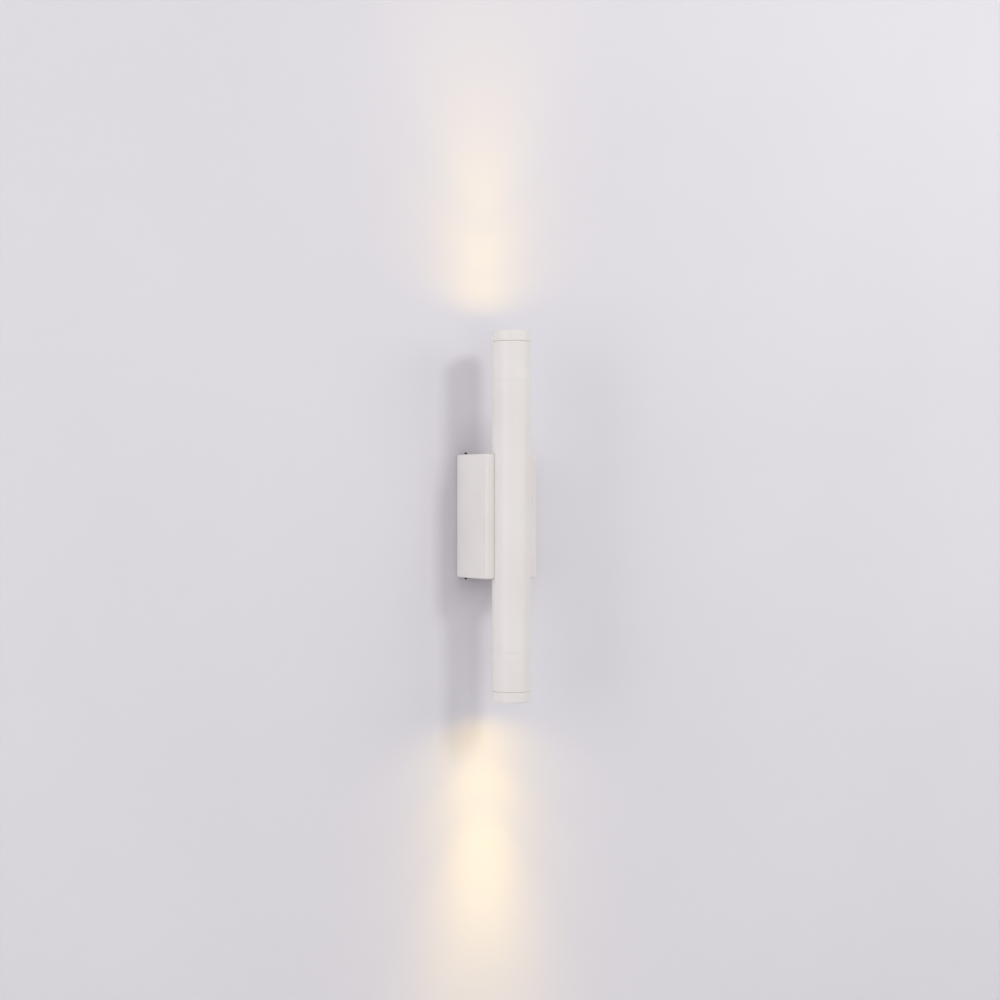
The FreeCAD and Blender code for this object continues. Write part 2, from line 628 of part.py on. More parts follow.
def make_head(end):
    """A turned head: spigot into the tube, floor for the lamp, bore for reflector and ring."""
    body = new_body(f"{end}_head")
    hub, foot = "(sizes.hub_diameter / 2)", f"({WEB_UNDER} - sizes.fin_length)"
    corners = [
        (SPIGOT_BORE_R, f"{HEAD_FOOT} - sizes.spigot_length"),
        (SPIGOT_R, f"{HEAD_FOOT} - sizes.spigot_length"),
        (SPIGOT_R, HEAD_FOOT),
        (f"{TUBE_R} - sizes.seam_bevel", HEAD_FOOT),
        (TUBE_R, f"{HEAD_FOOT} + sizes.seam_bevel"),
        (TUBE_R, f"{HEAD_END} - sizes.groove_bevel"),
        (f"{TUBE_R} - sizes.groove_bevel", HEAD_END),
        (THREAD_R, HEAD_END),
        (THREAD_R, RIM_SEAT),
        (LAMP_BORE_R, RIM_SEAT),
        (LAMP_BORE_R, WEB_TOP),
        ("0", WEB_TOP),
        ("0", foot),
        (hub, foot),
        (hub, WEB_UNDER),
        (SPIGOT_BORE_R, WEB_UNDER),
    ]
    revolve(body, corners)
    fin = new_sketch(body, f"{end}_fin", "XY_Plane", foot)
    half = "sizes.fin_thickness / 2"
    rectangle(fin, f"-{half}", half, f"{hub} * 0.8", f"{SPIGOT_BORE_R} + sizes.spigot_wall / 2")
    first = pad(body, fin, "sizes.fin_length + sizes.web_thickness / 2")
    polar(body, first, "sizes.fin_count")
    holes = new_sketch(body, f"{end}_floor_holes", "XY_Plane", WEB_TOP)
    step = "(180 / sizes.fin_count)"
    reach = LEAD_HOLE_REACH
    circles(holes, [(f"{reach} * sin({step})", f"{reach} * cos({step})")], "sizes.lead_hole / 2")
    pocket(body, holes, "sizes.web_thickness + 1")
    taps = new_sketch(body, f"{end}_board_taps", "XY_Plane", WEB_TOP)
    circles(taps, board_screw_spots(), "sizes.board_screw_diameter / 2 + sizes.thread_fit")
    pocket(body, taps, "sizes.web_thickness")
    at_end(body, end)
    return body


def board_screw_spots():
    return [(f"{side} * sizes.board_screw_reach", "0") for side in SIDES]


def make_ring(end):
    """The end ring: a threaded spigot, a lip over the glass, and a bevelled mouth."""
    body = new_body(f"{end}_ring")
    thread = f"({THREAD_R} - sizes.thread_clearance)"
    shoulder = f"({HEAD_END} + sizes.ring_gap)"
    groove = f"({RECESS_R} + sizes.clip_groove)"
    foot = f"({HEAD_END} - sizes.ring_spigot)"
    mouth, gap = MOUTH_R, "sizes.seat_gap / 2"
    corners = [
        (RECESS_R, foot),
        (thread, foot),
        (thread, shoulder),
        (f"{TUBE_R} - sizes.groove_bevel", shoulder),
        (TUBE_R, f"{shoulder} + sizes.groove_bevel"),
        (TUBE_R, f"{RING_END} - sizes.ring_edge"),
        (f"{TUBE_R} - sizes.ring_edge", RING_END),
        (f"{mouth} + sizes.mouth_bevel", RING_END),
        (mouth, f"{RING_END} - sizes.mouth_bevel"),
        (mouth, LIP_UNDER),
        (RECESS_R, LIP_UNDER),
        (RECESS_R, f"{CLIP_TOP} + {gap}"),
        (groove, f"{CLIP_TOP} + {gap}"),
        (groove, f"{CLIP_UNDER} - {gap}"),
        (RECESS_R, f"{CLIP_UNDER} - {gap}"),
    ]
    revolve(body, corners, {5: "sizes.ring_edge"})
    at_end(body, end)
    return body


def make_glass(end):
    body = new_body(f"{end}_glass")
    radius, ease = GLASS_R, "sizes.glass_edge"
    corners = [
        ("0", GLASS_UNDER), (f"{radius} - {ease}", GLASS_UNDER), (radius, f"{GLASS_UNDER} + {ease}"),
        (radius, f"{GLASS_TOP} - {ease}"), (f"{radius} - {ease}", GLASS_TOP), ("0", GLASS_TOP),
    ]
    revolve(body, corners)
    at_end(body, end)
    return body


def flat_ring(name, outer, inner, low, high):
    """A flat ring about z between two heights."""
    body = new_body(name)
    revolve(body, [(inner, low), (outer, low), (outer, high), (inner, high)])
    return body


def make_gasket(end):
    outer = f"({GLASS_R} - sizes.gasket_inset)"
    inner = f"({MOUTH_R} + sizes.gasket_proud)"
    body = flat_ring(f"{end}_gasket", outer, inner, GLASS_TOP, f"{GLASS_TOP} + sizes.gasket_thickness")
    at_end(body, end)
    return body


def make_clip(end):
    """The spring clip: a flat ring with a gap, snapped into the ring's groove."""
    outer = f"({RECESS_R} + sizes.clip_groove - 0.1)"
    inner = f"({outer} - sizes.clip_width)"
    body = flat_ring(f"{end}_clip", outer, inner, CLIP_UNDER, CLIP_TOP)
    slot = new_sketch(body, f"{end}_clip_gap", "XY_Plane", CLIP_TOP)
    half = "sizes.clip_gap_width / 2"
    rectangle(slot, f"-{half}", half, f"-({outer} + 1)", f"-({inner} - 3)")
    pocket(body, slot, "sizes.clip_thickness")
    at_end(body, end)
    return body


def make_reflector(end):
    """A spun reflector: a curved bowl from the lamp to a rim on the head's step."""
    body = new_body(f"{end}_reflector")
    wall, curve = "sizes.reflector_wall", "sizes.reflector_curve"
    throat = "(sizes.reflector_throat / 2)"
    foot = f"({WEB_TOP} + sizes.reflector_rise)"
    rim = f"({THREAD_R} - sizes.reflector_rim_gap)"
    bowl = f"({LAMP_BORE_R} - sizes.reflector_rim_gap)"
    top = f"({RIM_SEAT} + sizes.rim_thickness)"
    corners = [
        (throat, foot),
        (f"{throat} + {wall}", foot),
        (bowl, RIM_SEAT),
        (rim, RIM_SEAT),
        (rim, top),
        (f"{bowl} - {wall}", top),
    ]
    arcs = {1: f"({curve} + {wall})", 5: f"-{curve}"}
    revolve(body, corners, arcs)
    at_end(body, end)
    return body


def make_board(end):
    """The lamp board, a round metal-cored board screwed to the head's floor."""
    body = new_body(f"{end}_lamp_board")
    disc = new_sketch(body, f"{end}_board_disc", "XY_Plane", WEB_TOP)
    circles(disc, [("0", "0")], f"{LAMP_BORE_R} - sizes.board_gap")
    pad(body, disc, "sizes.board_thickness")
    holes = new_sketch(body, f"{end}_board_holes", "XY_Plane", BOARD_TOP)
    circles(holes, board_screw_spots(), "sizes.board_screw_diameter / 2 + sizes.screw_clearance")
    pocket(body, holes, "sizes.board_thickness")
    at_end(body, end)
    return body


def make_lamp(end):
    body = new_body(f"{end}_lamp")
    disc = new_sketch(body, f"{end}_lamp_disc", "XY_Plane", BOARD_TOP)
    circles(disc, [("0", "0")], "sizes.lamp_diameter / 2")
    pad(body, disc, "sizes.lamp_thickness")
    at_end(body, end)
    return body


def make_lamp_screws(section):
    for end, side in zip(ENDS, (1, -1)):
        height = f"{side} * {BOARD_TOP}"
        places = [(f"{x} * sizes.board_screw_reach", AXIS_Y, height, side < 0) for x in SIDES]
        screws(f"{end}_lamp_screws", section, places)


# ---------------------------------------------------------------- fixings of the tube

def make_saddle_nuts():
    """Nuts with a round back that fit the inside of the tube."""
    nuts = []
    bore = f"{TUBE_BORE_R} - sizes.nut_gap"
    for index, side in enumerate(SIDES):
        disc = doc.addObject("Part::Cylinder", f"nut_disc_{index + 1}")
        bind(disc, Radius=bore, Height="sizes.nut_length")
        middle = f"{side} * {CRADLE_SCREW_Z}"
        place(disc, y=AXIS_Y, z=f"{middle} - sizes.nut_length / 2")
        block = doc.addObject("Part::Box", f"nut_block_{index + 1}")
        bind(block, Length="sizes.nut_width", Width="sizes.nut_thickness", Height="sizes.nut_length")
        near = f"{AXIS_Y} + {bore} - sizes.nut_thickness"
        place(block, "-sizes.nut_width / 2", near, f"{middle} - sizes.nut_length / 2")
        saddle = doc.addObject("Part::Common", f"nut_saddle_{index + 1}")
        saddle.Base, saddle.Tool = disc, block
        tap = doc.addObject("Part::Cylinder", f"nut_tap_{index + 1}")
        bind(tap, Radius="sizes.cradle_screw_diameter / 2 + sizes.thread_fit",
             Height=TUBE_R)
        place(tap, "0", AXIS_Y, middle, (1, 0, 0), -90)
        nut = doc.addObject("Part::Cut", f"nut_{index + 1}")
        nut.Base, nut.Tool = saddle, tap
        nuts.append(nut)
    return group("saddle_nuts", nuts)


def make_wire_bush():
    """A nylon bush that leads the lamps' wires from the box into the tube."""
    body = new_body("wire_bush")
    bore, shank = "(sizes.bush_bore / 2)", "(sizes.bush_diameter / 2)"
    flange, flat = "(sizes.bush_flange / 2)", "sizes.bush_flange_height"
    deep = f"(sizes.box_depth - {TUBE_BORE_R} - {SEAT_FLAT} + sizes.bush_reach)"
    corners = [
        (bore, f"-{deep}"), (shank, f"-{deep}"), (shank, "0"), (flange, "0"),
        (flange, f"{flat} * 0.6"), (f"{flange} - {flat} * 0.4", flat), (bore, flat),
    ]
    revolve(body, corners)
    place(body, "0", f"-{SEAT_FLAT}", BUSH_Z, (1, 0, 0), -90)
    return body


# ---------------------------------------------------------------- driver

def make_driver():
    """The driver: a sealed case with an ear at each end."""
    body = new_body("driver_case")
    half = "sizes.driver_width / 2"
    block = new_sketch(body, "driver_outline", "XZ_Plane", DRIVER_BACK)
    rectangle(block, f"-{half}", half, DRIVER_FOOT, DRIVER_TOP)
    pad(body, block, DRIVER_THICK)
    soften(body, lambda edge: edge.BoundBox.ZLength > 5, "sizes.driver_edge")
    ears = new_sketch(body, "driver_ears", "XZ_Plane", f"{DRIVER_FRONT} - sizes.ear_thickness")
    wide = "sizes.ear_width / 2"
    rectangle(ears, f"-{wide}", wide, f"{DRIVER_FOOT} - sizes.ear_length",
              f"{DRIVER_TOP} + sizes.ear_length")
    pad(body, ears, "sizes.ear_thickness")
    holes = new_sketch(body, "ear_holes", "XZ_Plane", DRIVER_FRONT)
    circles(holes, [("0", UPPER_POST), ("0", LOWER_POST)],
            "sizes.driver_screw_diameter / 2 + sizes.screw_clearance")
    pocket(body, holes, "sizes.ear_thickness + 1")
    return body


# ---------------------------------------------------------------- terminal block and earth

def make_terminal_block():
    """A three-pole block: wire holes at both ends of each pole and a screw well in front."""
    body = new_body("terminal_block")
    half, tall = "sizes.block_width / 2", "sizes.block_height / 2"
    foot = f"({BLOCK_Z} - {tall})"
    head = f"({BLOCK_Z} + {tall})"
    base = new_sketch(body, "block_outline", "XZ_Plane", "sizes.plate_thickness")
    rectangle(base, f"-{half}", half, foot, head)
    pad(body, base, "sizes.block_depth")
    poles = ["-sizes.pole_pitch", "0", "sizes.pole_pitch"]
    middle = "-(sizes.plate_thickness + sizes.block_depth / 2)"
    for name, level, reverse in (("upper", head, False), ("lower", foot, True)):
        holes = new_sketch(body, f"{name}_wire_holes", "XY_Plane", level)
        circles(holes, [(x, middle) for x in poles], "sizes.pole_bore / 2")
        pocket(body, holes, "sizes.pole_depth", reverse=reverse)
    wells = new_sketch(body, "screw_wells", "XZ_Plane", BLOCK_FRONT)
    circles(wells, [(x, BLOCK_Z) for x in poles], "sizes.well_diameter / 2")
    pocket(body, wells, "sizes.well_depth")
    fixings = new_sketch(body, "block_fixings", "XZ_Plane", BLOCK_FRONT)
    spots = [(f"{x} * sizes.pole_pitch / 2", BLOCK_Z) for x in SIDES]
    circles(fixings, spots, "sizes.block_screw_diameter / 2 + sizes.thread_fit")
    pocket(body, fixings, "sizes.block_depth + 1")
    return body


def make_earth_tag():
    """A ring tag under the earth screw, with a barrel that grips the earth lead."""
    body = new_body("earth_tag")
    eye = new_sketch(body, "tag_eye", "XZ_Plane", "sizes.plate_thickness")
    circles(eye, [("0", EARTH_Z)], "sizes.tag_diameter / 2")
    pad(body, eye, "sizes.tag_thickness")
    tail = new_sketch(body, "tag_tail", "XZ_Plane", "sizes.plate_thickness")
    rectangle(tail, "-sizes.tag_tail / 2", "sizes.tag_tail / 2", EARTH_Z,
              f"{EARTH_Z} + sizes.tag_diameter * 0.9")
    pad(body, tail, "sizes.tag_thickness")
    hole = new_sketch(body, "tag_hole", "XZ_Plane", "sizes.plate_thickness + sizes.tag_thickness")
    circles(hole, [("0", EARTH_Z)],
            "sizes.earth_screw_diameter / 2 + sizes.screw_clearance")
    pocket(body, hole, "sizes.tag_thickness")
    return body


# ---------------------------------------------------------------- leads

def make_leads():
    """The leads that stay inside: supply to driver, earth to bracket, driver to both lamps."""
    make_supply_leads()
    make_earth_lead()
    make_lamp_leads()


def make_supply_leads():
    """From the block's outer poles, down and back up into the driver's lower end."""
    middle = "-(sizes.plate_thickness + sizes.block_depth / 2)"
    start = f"{BLOCK_Z} - sizes.block_height / 2 + sizes.lead_grip"
    inside = f"-({DRIVER_FRONT} + {DRIVER_BACK}) / 2"
    drop = f"{DRIVER_FOOT} - sizes.lead_drop"
    pair = []
    for index, side in enumerate(SIDES):
        x = f"{side} * sizes.pole_pitch"
        route = [
            (x, middle, start),
            (x, middle, drop),
            (x, f"({middle} + {inside}) / 2", f"{DRIVER_FOOT} - sizes.lead_sag"),
            (x, inside, drop),
            (x, inside, DRIVER_FOOT),
        ]
        pair.append(lead(f"supply_lead_{index + 1}", route, "sizes.lead_diameter"))
    group("supply_leads", pair)


def make_earth_lead():
    middle = "-(sizes.plate_thickness + sizes.block_depth / 2)"
    foot = f"({BLOCK_Z} - sizes.block_height / 2)"
    low = "-(sizes.plate_thickness + sizes.tag_thickness + sizes.lead_diameter / 2)"
    reach = f"({foot} - {EARTH_Z} - sizes.tag_diameter / 2)"
    route = [
        ("0", middle, f"{foot} + sizes.lead_grip"),
        ("0", middle, f"{foot} - 0.1 * {reach}"),
        ("0", low, f"{foot} - 0.45 * {reach}"),
        ("0", low, f"{EARTH_Z} + sizes.tag_diameter / 2 + 1"),
    ]
    group("earth_lead", [lead("earth_lead_1", route, "sizes.lead_diameter")])


def make_lamp_leads():
    """From the driver's upper end through the bush, then up and down the tube to both lamps."""
    inside = f"-({DRIVER_FRONT} + {DRIVER_BACK}) / 2"
    bend = f"{DRIVER_TOP} + ({BUSH_Z} - {DRIVER_TOP}) * 0.4"
    bush_face = f"-({SEAT_FLAT} - sizes.bush_flange_height) + 3"
    lane_y = f"{AXIS_Y} + {TUBE_BORE_R} / 2"
    step = "(180 / sizes.fin_count)"
    hole_x = f"({LEAD_HOLE_REACH} * sin({step}))"
    hole_y = f"{AXIS_Y} + {LEAD_HOLE_REACH} * cos({step})"
    # how far along the way from the bush to the head each bend lies, and its step off the lane
    bends = {"upper": [(0.2, 0), (0.55, 1)], "lower": [(0.1, 0), (0.35, 1), (0.62, -0.7), (0.82, 0.7)]}
    for end, side in zip(ENDS, (1, -1)):
        level = f"({BUSH_Z} + {side} * sizes.lead_diameter * 0.6)"
        head = f"({side} * ({HEAD_FOOT} - sizes.spigot_length))"
        pair = []
        for index, lane in enumerate((-1, 1)):
            x = f"{lane} * sizes.lead_diameter * 0.6"
            far = f"({side} * {hole_x} + {lane} * sizes.lead_diameter * 0.52)"
            route = [
                (x, f"{inside} + {side} * sizes.lead_diameter * 0.6", DRIVER_TOP),
                (x, f"{inside} + {side} * sizes.lead_diameter * 0.6",
                 f"{bend} + {side} * sizes.lead_diameter * 0.6"),
                (x, bush_face, level),
                (x, lane_y, level),
            ]
            for share, sway in bends[end]:
                route.append((f"{x} + {sway} * sizes.lead_sway", f"{lane_y} + {sway} * sizes.lead_sway / 2",
                              f"{level} + ({head} - {level}) * {share}"))
            route += [(far, hole_y, head), (far, hole_y, f"{side} * {WEB_TOP}")]
            pair.append(lead(f"{end}_lamp_lead_{index + 1}", route, "sizes.lead_diameter"))
        group(f"{end}_lamp_leads", pair)


# ---------------------------------------------------------------- the whole light

def make_fasteners():
    """Every screw: a section for each kind, and one node for each set of equal screws."""
    cover = screw_section(
        "cover_screw", "sizes.cover_screw_diameter / 2",
        "(sizes.box_wall + sizes.plate_gap + sizes.plate_thickness + sizes.collar_depth + 1)",
        "sizes.cover_head_diameter / 2", "sizes.cover_head_height")
    y = "-sizes.cover_screw_inset"
    top = "sizes.box_height / 2"
    places = [(f"{x} * {COVER_SCREW_X}", y, f"{side} * {top}", side < 0)
              for side in (1, -1) for x in SIDES]
    screws("cover_screws", cover, places)

    cradle = screw_section(
        "cradle_screw", "sizes.cradle_screw_diameter / 2",
        f"(sizes.box_depth - {TUBE_BORE_R} - {SEAT_FLAT} + sizes.nut_gap + sizes.nut_thickness)",
        "sizes.cradle_head_diameter / 2", "sizes.cradle_head_height")
    places = [("0", f"-{SEAT_FLAT}", f"{side} * {CRADLE_SCREW_Z}", False) for side in SIDES]
    screws("cradle_screws", cradle, places, angle=-90)

    driver = screw_section(
        "driver_screw", "sizes.driver_screw_diameter / 2",
        f"(sizes.ear_thickness + {CRADLE_BACK} - {DRIVER_FRONT})",
        "sizes.driver_screw_diameter", "sizes.driver_screw_diameter * 0.6")
    places = [("0", f"-({DRIVER_FRONT} - sizes.ear_thickness)", spot, False)
              for spot in (UPPER_POST, LOWER_POST)]
    screws("driver_screws", driver, places, angle=-90)

    block = screw_section(
        "block_screw", "sizes.block_screw_diameter / 2", BLOCK_FRONT,
        "sizes.block_screw_diameter * 0.85", "sizes.block_screw_diameter * 0.5")
    places = [(f"{x} * sizes.pole_pitch / 2", f"-{BLOCK_FRONT}", BLOCK_Z, True)
              for x in SIDES]
    screws("block_screws", block, places, angle=-90)

    clamp = screw_section(
        "clamp_screw", "sizes.clamp_screw_diameter / 2 * 0.8", "0.3",
        "sizes.clamp_screw_diameter / 2", "sizes.well_depth * 0.6")
    poles = ["-sizes.pole_pitch", "0", "sizes.pole_pitch"]
    seat = f"-({BLOCK_FRONT} - sizes.well_depth + 0.3)"
    places = [(x, seat, BLOCK_Z, True) for x in poles]
    screws("terminal_screws", clamp, places, angle=-90)

    earth = screw_section(
        "earth_screw_shape", "sizes.earth_screw_diameter / 2",
        "(sizes.plate_thickness + sizes.tag_thickness)",
        "sizes.earth_screw_diameter * 0.9", "sizes.earth_screw_diameter * 0.55")
    seat = "-(sizes.plate_thickness + sizes.tag_thickness)"
    screws("earth_screw", earth, [("0", seat, EARTH_Z, True)], angle=-90)

    lamp = screw_section(
        "lamp_screw", "sizes.board_screw_diameter / 2",
        "(sizes.board_thickness + sizes.web_thickness - 1)",
        "sizes.board_screw_diameter * 0.85", "sizes.board_screw_diameter * 0.6")
    make_lamp_screws(lamp)


def make_light():
    make_wall_bracket()
    make_cable_grommet()
    make_cover_box()
    make_tube_body()
    for end in ENDS:
        make_head(end)
        make_ring(end)
        make_glass(end)
        make_gasket(end)
        make_clip(end)
        make_reflector(end)
        make_board(end)
        make_lamp(end)
    make_saddle_nuts()
    make_wire_bush()
    make_driver()
    make_terminal_block()
    make_earth_tag()
    make_leads()
    make_fasteners()


def nodes():
    """The pieces of the light: every body and every group of equal pieces."""
    kinds = ("PartDesign::Body", "Part::Compound")
    return [thing for thing in doc.Objects if thing.TypeId in kinds]


def check():
    """Stop if an object failed, or a piece's shape is not sound."""
    for thing in doc.Objects:
        if {"Invalid", "Error"} & set(thing.State):
            raise RuntimeError(f"{thing.Name} ({thing.TypeId}) failed: {thing.State}")
        if thing.TypeId == "Sketcher::SketchObject" and not thing.FullyConstrained:
            print(f"{thing.Name} is not fully constrained")
    for piece in nodes():
        if piece.Shape.isNull() or not piece.Shape.isValid() or not piece.Shape.Solids:
            raise RuntimeError(f"{piece.Label} has no sound shape")


def export():
    os.makedirs("parts", exist_ok=True)
    for piece in nodes():
        piece.Shape.exportStep(os.path.join("parts", f"{piece.Label}.step"))
        box = piece.Shape.BoundBox
        print(f"{piece.Label:20} {len(piece.Shape.Solids)} solids, {piece.Shape.Volume:9.1f} mm3, "
              f"x {box.XMin:6.1f} {box.XMax:6.1f}, y {box.YMin:6.1f} {box.YMax:6.1f}, "
              f"z {box.ZMin:6.1f} {box.ZMax:6.1f}")


make_light()
doc.recompute()
check()
export()
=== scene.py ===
# %% [markdown]
# A tube wall light: a slim round tube, half sunk in a square wall box, that shines up and down.
# The frame comes first: it holds every piece at its real size and place, and what is made below for
# the light takes its place from there.

# %% Load the frame
import bmesh
import bpy
import math
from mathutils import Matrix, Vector


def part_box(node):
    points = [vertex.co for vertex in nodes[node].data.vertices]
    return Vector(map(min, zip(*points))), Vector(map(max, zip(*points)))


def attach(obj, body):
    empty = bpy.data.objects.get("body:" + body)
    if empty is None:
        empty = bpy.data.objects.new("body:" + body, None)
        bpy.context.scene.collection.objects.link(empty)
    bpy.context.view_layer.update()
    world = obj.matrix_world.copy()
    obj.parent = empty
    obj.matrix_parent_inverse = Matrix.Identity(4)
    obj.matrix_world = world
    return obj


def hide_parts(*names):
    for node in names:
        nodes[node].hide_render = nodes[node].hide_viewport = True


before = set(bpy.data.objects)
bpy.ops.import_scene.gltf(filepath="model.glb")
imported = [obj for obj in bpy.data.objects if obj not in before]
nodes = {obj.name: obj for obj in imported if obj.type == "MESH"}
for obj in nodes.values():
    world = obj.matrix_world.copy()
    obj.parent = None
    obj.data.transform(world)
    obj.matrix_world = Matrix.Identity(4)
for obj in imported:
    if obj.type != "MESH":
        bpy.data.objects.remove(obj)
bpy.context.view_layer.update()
MM = 0.001

# %% [markdown]
# The camera stands at about the light's own height and to its left, with a long lens, as for a
# catalogue picture. It looks level, so every upright edge stays upright in the picture. The light
# is then brought to its place in the picture with a small shift of the lens.

# %% The camera
AZIMUTH = math.radians(-31)
DISTANCE = 2.1
EYE_RISE = 0.027
LENS_MM, SENSOR_MM = 73.7, 36
SHIFT = (-0.0114, -0.010)

tube_low, tube_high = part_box("tube_body")
AXIS_Y = (tube_low.y + tube_high.y) / 2
TUBE_R = (tube_high.x - tube_low.x) / 2
camera_data = bpy.data.cameras.new("camera")
camera_data.lens = LENS_MM
camera_data.sensor_width = SENSOR_MM
camera_data.shift_x, camera_data.shift_y = SHIFT
camera = bpy.data.objects.new("camera", camera_data)
away = Vector((math.sin(AZIMUTH), -math.cos(AZIMUTH), 0)) * DISTANCE
camera.location = Vector((0, AXIS_Y, EYE_RISE)) + away
camera.rotation_euler = (math.pi / 2, 0, AZIMUTH)
bpy.context.scene.collection.objects.link(camera)
bpy.context.scene.camera = camera
bpy.context.scene.view_settings.view_transform = "Standard"
print("camera at", tuple(round(c, 3) for c in camera.location), "tube radius", round(TUBE_R, 4))

# %% [markdown]
# Materials are built from nodes. A few short helpers keep each material readable: they add a node
# with its plain values, join two sockets, stretch a value's range, mix two colours, or add relief.

# %% Node helpers
def new_material(name):
    """A material with a Principled shader; returns the material, its tree and the shader."""
    material = bpy.data.materials.new(name)
    material.use_nodes = True
    tree = material.node_tree
    shader = tree.nodes["Principled BSDF"]
    return material, tree, shader


def add_node(tree, kind, **values):
    """A node with plain values as its settings or on its sockets."""
    node = tree.nodes.new(kind)
    for name, value in values.items():
        if hasattr(node, name):
            setattr(node, name, value)
        else:
            node.inputs[name].default_value = value
    return node


def join(tree, source, target):
    tree.links.new(source, target)


def object_place(tree):
    return add_node(tree, "ShaderNodeTexCoord").outputs["Object"]


def ramp(tree, source, low, high, start=0.0, end=1.0):
    """Map a value's range low..high to start..end."""
    node = add_node(tree, "ShaderNodeMapRange")
    for name, value in (("From Min", low), ("From Max", high), ("To Min", start), ("To Max", end)):
        node.inputs[name].default_value = value
    join(tree, source, node.inputs["Value"])
    return node.outputs["Result"]


def mix_colours(tree, share, first, second):
    """A colour between two, by a share that changes over the surface."""
    node = add_node(tree, "ShaderNodeMix", data_type="RGBA")
    join(tree, share, node.inputs[0])
    node.inputs[6].default_value = (*first, 1)
    node.inputs[7].default_value = (*second, 1)
    return node.outputs[2]


def bump(tree, shader, height, strength, distance):
    """Relief from a height of 0 to 1, as deep as distance at full strength."""
    node = add_node(tree, "ShaderNodeBump")
    node.inputs["Strength"].default_value = strength
    node.inputs["Distance"].default_value = distance
    join(tree, height, node.inputs["Height"])
    join(tree, node.outputs["Normal"], shader.inputs["Normal"])


# %% [markdown]
# Sprayed powder melts into a skin that is never quite flat: a fine ripple like orange peel, with
# finer grain on it. The same effect, at other sizes, suits moulded plastic and blasted metal,
# so it is built once as a group with named inputs and placed in most materials.

# %% Orange-peel group
GRAIN_SHARE = 0.35


def make_peel_group():
    """Noise at three sizes: ripple and grain for the relief, clouds for the colour's drift."""
    group = bpy.data.node_groups.new("sprayed_skin", "ShaderNodeTree")
    face = group.interface
    face.new_socket("Place", in_out="INPUT", socket_type="NodeSocketVector")
    for name in ("Ripple Scale", "Grain Scale", "Cloud Scale"):
        face.new_socket(name, in_out="INPUT", socket_type="NodeSocketFloat")
    for name in ("Height", "Cloud", "Grain"):
        face.new_socket(name, in_out="OUTPUT", socket_type="NodeSocketFloat")
    entry = group.nodes.new("NodeGroupInput")
    leave = group.nodes.new("NodeGroupOutput")
    waves = {}
    for name, detail in (("Ripple Scale", 2.0), ("Grain Scale", 3.0), ("Cloud Scale", 4.0)):
        noise = add_node(group, "ShaderNodeTexNoise", Detail=detail, Roughness=0.5)
        join(group, entry.outputs["Place"], noise.inputs["Vector"])
        join(group, entry.outputs[name], noise.inputs["Scale"])
        waves[name] = noise.outputs["Fac"]
    both = add_node(group, "ShaderNodeMath", operation="MULTIPLY_ADD")
    join(group, waves["Grain Scale"], both.inputs[0])
    both.inputs[1].default_value = GRAIN_SHARE
    join(group, waves["Ripple Scale"], both.inputs[2])
    join(group, both.outputs[0], leave.inputs["Height"])
    join(group, waves["Cloud Scale"], leave.inputs["Cloud"])
    join(group, waves["Grain Scale"], leave.inputs["Grain"])
    return group


PEEL = make_peel_group()


def add_peel(tree, ripple, grain, cloud):
    """Place the sprayed-skin effect with its own sizes, in waves a metre."""
    node = tree.nodes.new("ShaderNodeGroup")
    node.node_tree = PEEL
    join(tree, object_place(tree), node.inputs["Place"])
    node.inputs["Ripple Scale"].default_value = ripple
    node.inputs["Grain Scale"].default_value = grain
    node.inputs["Cloud Scale"].default_value = cloud
    return node


print("group:", PEEL.name, [item.name for item in PEEL.interface.items_tree])


# %% [markdown]
# Hollows are darkened with painted shade. A second group finds them: it asks how much of the
# surroundings within a given reach is open, and puts out a soft mask that is strongest where least
# is.

# %% Hollow group
OPEN_LOW, OPEN_HIGH = 0.35, 0.95


def make_hollow_group():
    group = bpy.data.node_groups.new("soft_hollow", "ShaderNodeTree")
    face = group.interface
    face.new_socket("Reach", in_out="INPUT", socket_type="NodeSocketFloat")
    face.new_socket("Hollow", in_out="OUTPUT", socket_type="NodeSocketFloat")
    entry = group.nodes.new("NodeGroupInput")
    leave = group.nodes.new("NodeGroupOutput")
    openness = add_node(group, "ShaderNodeAmbientOcclusion", samples=4)
    join(group, entry.outputs["Reach"], openness.inputs["Distance"])
    mask = ramp(group, openness.outputs["AO"], OPEN_LOW, OPEN_HIGH, start=1.0, end=0.0)
    join(group, mask, leave.inputs["Hollow"])
    return group


HOLLOW = make_hollow_group()


# Painted shade: the colour is darkened in hollows, where less light would reach.
def shade_hollows(tree, colour, shade_colour, reach, share):
    """A colour darkened towards a shade colour by up to that share, as painted shade in hollows
    within reach.
    """
    group = tree.nodes.new("ShaderNodeGroup")
    group.node_tree = HOLLOW
    group.inputs["Reach"].default_value = reach
    blend = add_node(tree, "ShaderNodeMix", data_type="RGBA")
    join(tree, ramp(tree, group.outputs["Hollow"], low=0.0, high=1.0, end=share), blend.inputs[0])
    join(tree, colour, blend.inputs[6])
    blend.inputs[7].default_value = (*shade_colour, 1)
    return blend.outputs[2]


print("group:", HOLLOW.name)


# %% [markdown]
# The outside is one warm-white powder coat, satin rather than glossy. The colour drifts very
# slightly over the length, hollows are a touch greyer with painted shade, and the skin has its fine
# ripple.

# %% Powder coat
COAT_LIGHT = (0.80, 0.765, 0.742)
COAT_DARK = (0.77, 0.733, 0.710)
# the colour of the painted shade in the coat's hollows
COAT_SHADE = (0.42, 0.40, 0.38)


